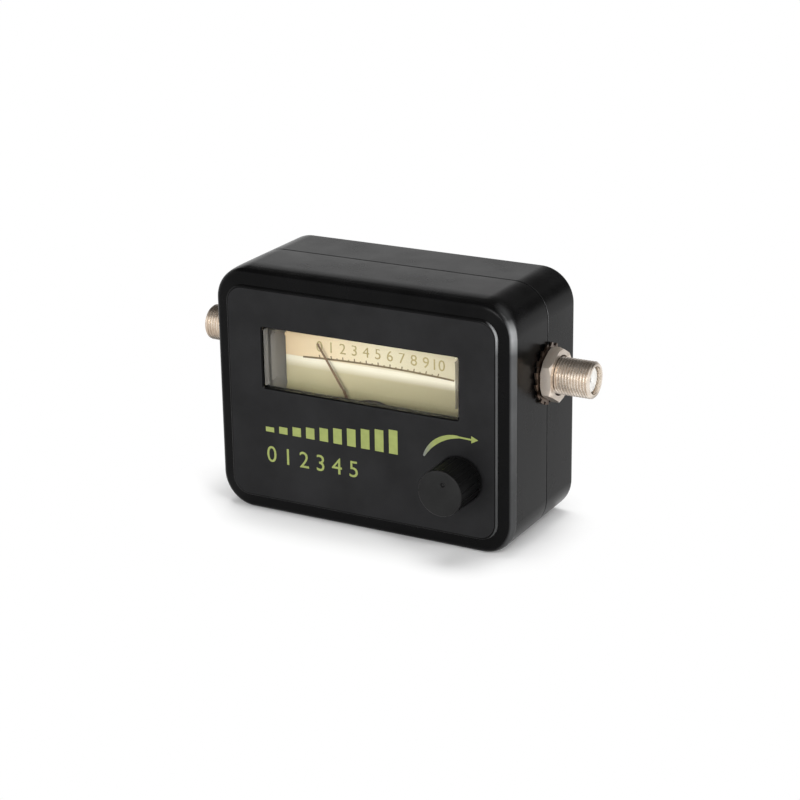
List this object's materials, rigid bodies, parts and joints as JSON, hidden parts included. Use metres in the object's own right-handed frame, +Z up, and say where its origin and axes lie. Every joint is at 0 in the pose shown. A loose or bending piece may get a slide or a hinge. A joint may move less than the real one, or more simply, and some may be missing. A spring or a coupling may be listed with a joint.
{
  "type": "satellite signal meter",
  "caption": "Hand-held satellite signal meter: black two-part case, needle dial behind a clear window, level knob and a threaded coax socket on each side.",
  "frame": {"origin": "centre of the bottom face, in the middle of the case's width and depth", "axes": "+X to the reader's right, through the two sockets; +Y from the dial to the back; +Z up"},
  "size_m": [0.112, 0.0483, 0.066],
  "materials": {
    "black_moulding": "satin black moulded plastic, front panel finely grained",
    "knob_plastic": "semi-gloss black plastic",
    "clear_plastic": "clear moulded plastic",
    "cream_print": "cream printed scale plate",
    "needle_paint": "brown painted aluminium",
    "dark_plastic": "dark moulded plastic",
    "nickel": "nickel plate with light wear",
    "steel": "zinc-plated steel",
    "brass": "plain brass",
    "copper": "enamelled copper wire",
    "magnet": "sintered magnet and ferrite",
    "white_insulator": "white plastic insulator",
    "board_green": "green lacquered board",
    "brown_laminate": "brown laminate",
    "component_black": "black moulded component",
    "tin": "tinned sheet and light alloy",
    "sleeve_blue": "blue shrink sleeve",
    "lamp_amber": "clear amber resin and glass"
  },
  "bodies": {
    "case": {"front_shell": "black_moulding", "rear_cover": "black_moulding", "case_screw_1": "steel", "case_screw_2": "steel", "case_screw_3": "steel", "case_screw_4": "steel", "return_ring": "steel", "board_screw_left": "steel", "board_screw_right": "steel", "meter_cap": "clear_plastic", "meter_base": "dark_plastic", "pivot_cover": "dark_plastic", "dial_plate": "cream_print", "dial_screw_left": "brass", "dial_screw_right": "brass", "front_bridge": "brass", "front_jewel_screw": "brass", "rear_jewel_screw": "brass", "zero_lever": "brass", "front_hairspring": "brass", "rear_hairspring": "brass", "meter_terminal_left": "brass", "meter_terminal_right": "brass", "control_bush": "brass", "centre_contact_left": "brass", "centre_contact_right": "brass", "rear_bridge": "tin", "control_can": "tin", "shield_can": "tin", "core_magnet": "magnet", "bypass_choke": "magnet", "control_wafer": "brown_laminate", "connector_body_left": "nickel", "connector_body_right": "nickel", "lock_washer_left": "nickel", "lock_washer_right": "nickel", "hex_nut_left": "nickel", "hex_nut_right": "nickel", "insulator_left": "white_insulator", "insulator_right": "white_insulator", "circuit_board": "board_green", "amplifier_transistor_1": "component_black", "amplifier_transistor_2": "component_black", "amplifier_chip": "component_black", "voltage_regulator": "component_black", "buzzer": "component_black", "detector_diode": "lamp_amber", "dial_lamp_left": "lamp_amber", "dial_lamp_right": "lamp_amber", "capacitor_left": "sleeve_blue", "capacitor_right": "sleeve_blue"},
    "pointer": {"needle": "needle_paint", "balance_weight": "brass", "coil_former": "tin", "coil_winding": "copper", "front_pivot": "steel", "rear_pivot": "steel"},
    "knob": {"level_knob": "knob_plastic", "level_shaft": "steel", "wiper_disc": "brown_laminate"}
  },
  "joints": [
    {"name": "knob_turn", "type": "hinge", "parent": "case", "child": "knob", "pos_m": [0.0286, -0.0191, 0.0195], "axis": [0, 1, 0], "range_deg": [-170, 130]},
    {"name": "needle_swing", "type": "hinge", "parent": "case", "child": "pointer", "pos_m": [0, -0.00975, 0.0194], "axis": [0, 1, 0], "range_deg": [-3, 68.2], "stiffness_Nm_per_rad": 0.00002}
  ]
}
